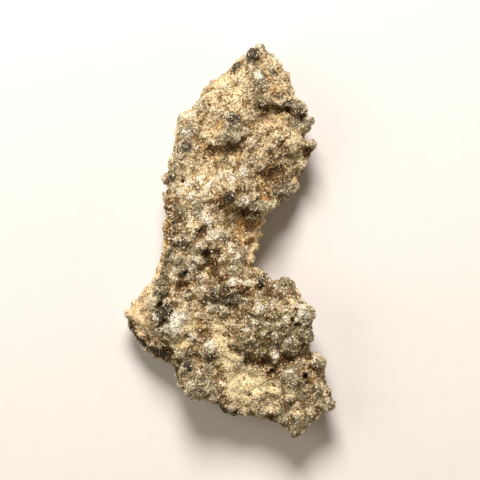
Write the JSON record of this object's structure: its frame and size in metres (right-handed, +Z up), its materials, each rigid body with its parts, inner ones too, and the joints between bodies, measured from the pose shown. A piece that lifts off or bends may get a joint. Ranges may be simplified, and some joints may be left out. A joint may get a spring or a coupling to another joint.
{
  "type": "fulgurite",
  "caption": "Fused-sand fulgurite crust: a flat, crooked, knobbly branching piece with a side notch, a low wing and small feet that it rests on.",
  "frame": {"origin": "middle of the bounding box in X and Y, at the level that the piece rests on", "axes": "+Z up, with the piece lying on its feet; +Y along its length towards the pointed end; +X towards the side with the notch"},
  "size_m": [0.0246, 0.0456, 0.0108],
  "materials": {
    "fused_sand": "rough sandy crust of cream, tan and olive grey grains, with small glassy grey knobs"
  },
  "bodies": {
    "root": {"fulgurite": "fused_sand"}
  },
  "joints": []
}
